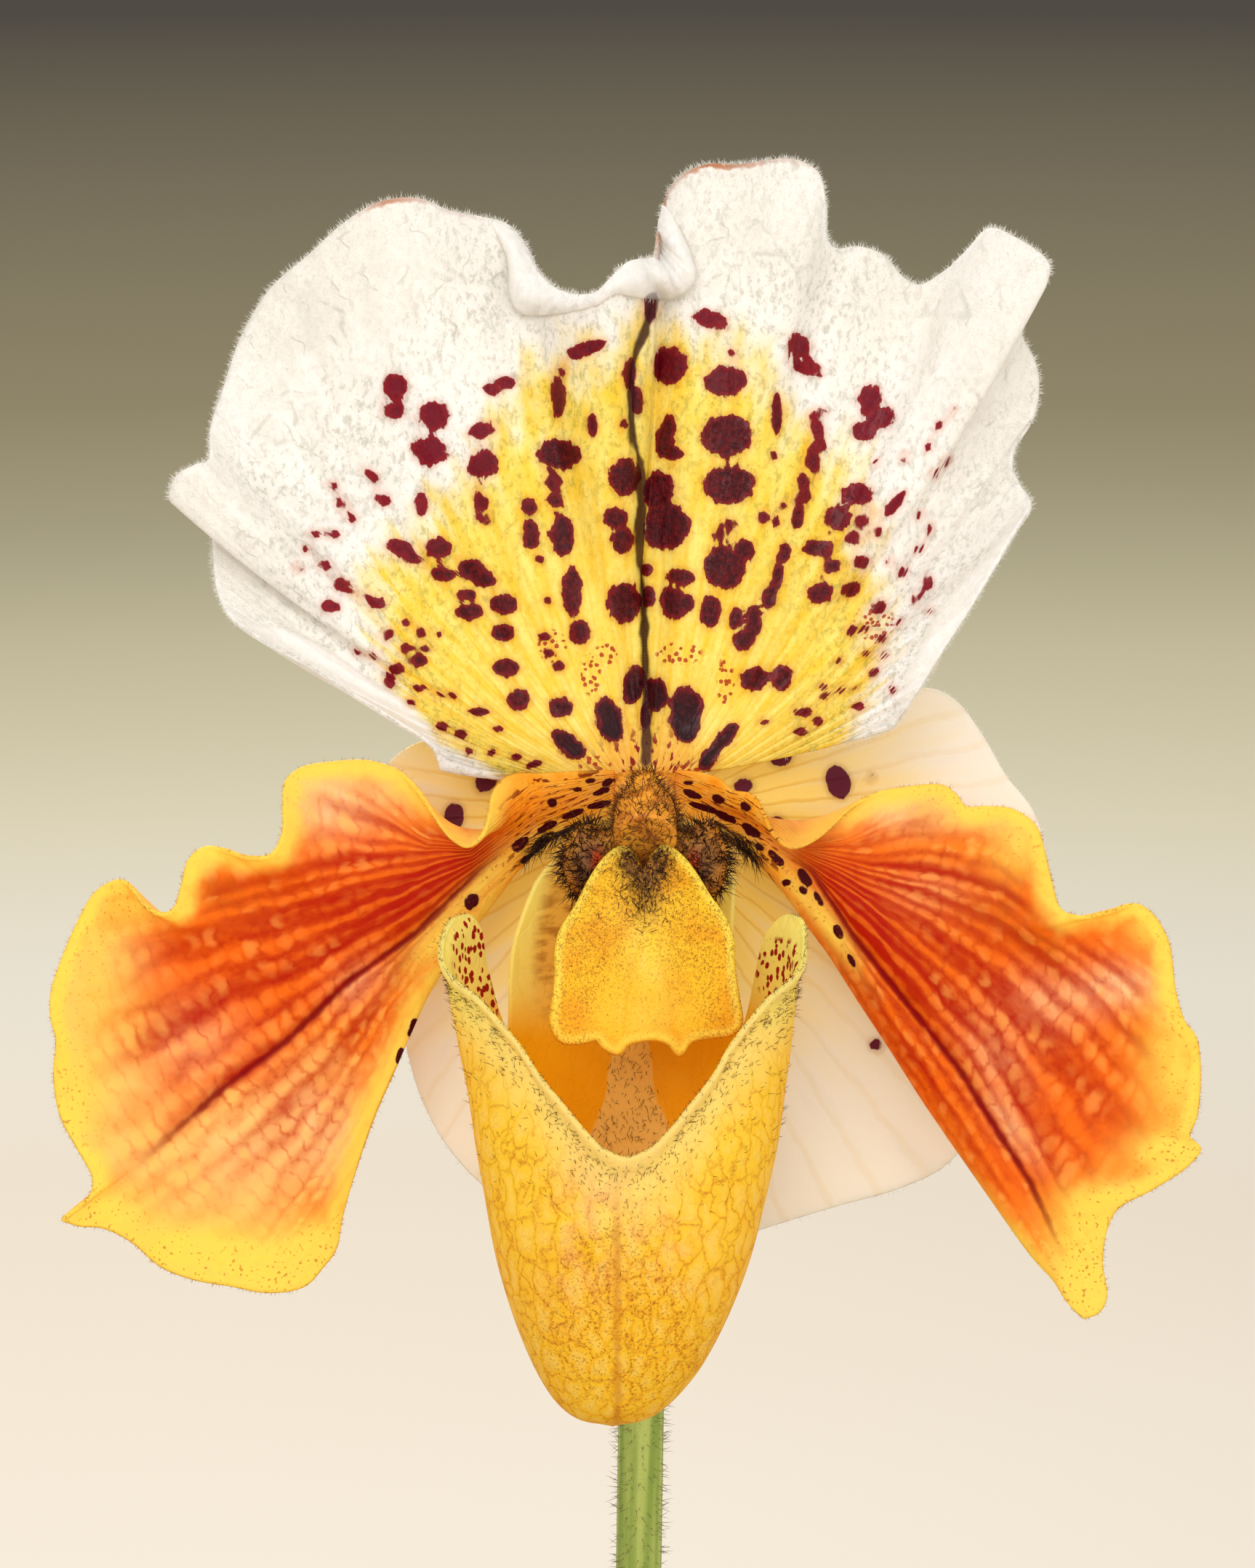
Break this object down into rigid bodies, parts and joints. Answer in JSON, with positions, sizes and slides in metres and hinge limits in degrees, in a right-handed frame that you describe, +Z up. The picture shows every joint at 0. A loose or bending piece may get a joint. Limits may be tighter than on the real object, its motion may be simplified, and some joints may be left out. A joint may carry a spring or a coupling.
{
  "type": "potted paphiopedilum orchid",
  "caption": "Slipper orchid in a plain clay pot: a fan of strap leaves and one upright scape with a large spotted and veined bloom whose lip is a deep pouch.",
  "frame": {"origin": "centre of the pot's underside, on the plane that the pot stands on", "axes": "+Z up, and the bloom faces -Y with +X to the right of someone who looks at its face"},
  "size_m": [0.3138, 0.1228, 0.3698],
  "materials": {
    "clay": "dry fired terracotta clay, slightly chalky",
    "bark": "chips of dry conifer bark",
    "leaf": "waxy plain green leaf, paler beneath",
    "stem": "green stem under short purple-brown hairs",
    "dorsal": "white sepal with a yellow heart and rows of maroon spots",
    "synsepal": "pale cream sepal with faint yellow-green veins and few spots",
    "petal": "glossy orange petal with red-brown net veins and a yellow rim",
    "lip": "waxy golden yellow with a fine brown net of veins",
    "column": "bright yellow shield with short dark hairs"
  },
  "bodies": {
    "root": {"pot": "clay", "bark": "bark", "leaf_1": "leaf", "leaf_2": "leaf", "leaf_3": "leaf", "leaf_4": "leaf", "leaf_5": "leaf", "leaf_6": "leaf", "leaf_7": "leaf", "scape": "stem", "bract": "leaf", "ovary": "stem", "dorsal_sepal": "dorsal", "synsepal": "synsepal", "petal_left": "petal", "petal_right": "petal", "lip_pouch": "lip", "column": "column"}
  },
  "joints": []
}
